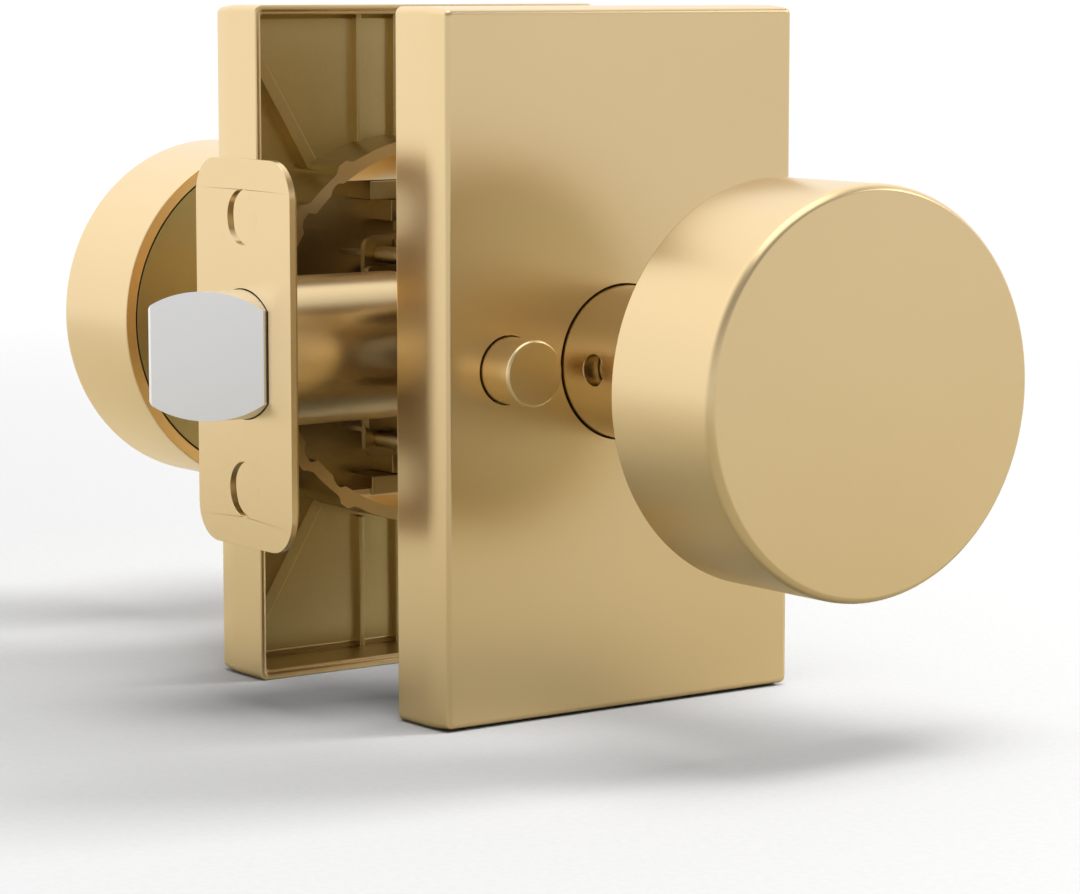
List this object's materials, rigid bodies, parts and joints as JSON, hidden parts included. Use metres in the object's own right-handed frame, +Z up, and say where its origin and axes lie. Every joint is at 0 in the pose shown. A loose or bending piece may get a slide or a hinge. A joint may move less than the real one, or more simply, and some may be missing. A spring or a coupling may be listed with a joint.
{
  "type": "door knob",
  "caption": "Privacy door knob set: drum knobs on flat rectangular roses, tubular spring latch between them, and a push button lock on the interior side.",
  "frame": {"origin": "on the spindle's axis, halfway through the door", "axes": "+Z up; +Y along the spindle to the exterior side; -X to the door's edge, where the latch bolt comes out"},
  "size_m": [0.0906, 0.1744, 0.104],
  "materials": {
    "satin_brass": "satin, fine even grain",
    "satin_nickel": "satin nickel plate",
    "zinc_plated_steel": "zinc plated pressed steel",
    "yellow_zinc_steel": "yellow zinc plated pressed steel",
    "spring_steel": "drawn spring wire",
    "white_nylon": "moulded nylon"
  },
  "bodies": {
    "lock_body": {"interior_rose": "satin_brass", "exterior_rose": "satin_brass", "interior_chassis_plate": "yellow_zinc_steel", "exterior_chassis_plate": "yellow_zinc_steel", "interior_neck_bush": "white_nylon", "exterior_neck_bush": "white_nylon", "interior_spring_housing": "yellow_zinc_steel", "exterior_spring_housing": "yellow_zinc_steel", "interior_return_spring": "spring_steel", "exterior_return_spring": "spring_steel", "button_guide": "white_nylon", "button_spring": "spring_steel", "upper_through_bolt": "zinc_plated_steel", "lower_through_bolt": "zinc_plated_steel", "upper_threaded_post": "yellow_zinc_steel", "lower_threaded_post": "yellow_zinc_steel", "latch_faceplate": "satin_brass", "latch_base_plate": "yellow_zinc_steel", "latch_tube": "satin_brass", "latch_interior_side_plate": "yellow_zinc_steel", "latch_exterior_side_plate": "yellow_zinc_steel", "latch_spring_seat": "yellow_zinc_steel", "latch_rivet_1": "zinc_plated_steel", "latch_rivet_2": "zinc_plated_steel", "latch_rivet_3": "zinc_plated_steel", "latch_rivet_4": "zinc_plated_steel", "latch_spring": "spring_steel"},
    "knob": {"interior_knob_cup": "satin_brass", "interior_knob_back_plate": "satin_brass", "interior_neck": "satin_brass", "interior_neck_nut": "zinc_plated_steel", "interior_set_screw": "zinc_plated_steel", "interior_cam": "yellow_zinc_steel", "interior_circlip": "zinc_plated_steel", "exterior_knob_cup": "satin_brass", "exterior_knob_back_plate": "satin_brass", "exterior_neck": "satin_brass", "exterior_neck_nut": "zinc_plated_steel", "exterior_cross_pin": "zinc_plated_steel", "exterior_cam": "yellow_zinc_steel", "exterior_circlip": "zinc_plated_steel", "spindle": "zinc_plated_steel", "latch_hub": "zinc_plated_steel"},
    "retractor": {"retractor_interior_arm": "yellow_zinc_steel", "retractor_exterior_arm": "yellow_zinc_steel", "retractor_upper_bar": "yellow_zinc_steel", "retractor_lower_bar": "yellow_zinc_steel"},
    "bolt": {"latch_bolt": "satin_nickel", "bolt_cross_pin": "zinc_plated_steel"},
    "button": {"privacy_button": "satin_brass", "button_stem": "zinc_plated_steel"}
  },
  "joints": [
    {"name": "knob_turn", "type": "hinge", "parent": "lock_body", "child": "knob", "pos_m": [0, 0, 0], "axis": [0, 1, 0], "range_deg": [0, 60], "stiffness_Nm_per_rad": 0.25, "springref_deg": -20.05},
    {"name": "retractor_slide", "type": "slide", "parent": "lock_body", "child": "retractor", "axis": [1, 0, 0], "range_m": [0, 0.012]},
    {"name": "bolt_slide", "type": "slide", "parent": "retractor", "child": "bolt", "axis": [1, 0, 0], "range_m": [0, 0.012], "stiffness_N_per_m": 120, "springref_m": -0.01, "deforming": ["latch_spring"]},
    {"name": "button_push", "type": "slide", "parent": "lock_body", "child": "button", "axis": [0, 1, 0], "range_m": [0, 0.0035], "stiffness_N_per_m": 200, "springref_m": -0.003, "deforming": ["button_spring"]}
  ],
  "couplings": [
    {"joint": "retractor_slide", "follows": "knob_turn", "m_per_rad": 0.011459}
  ]
}
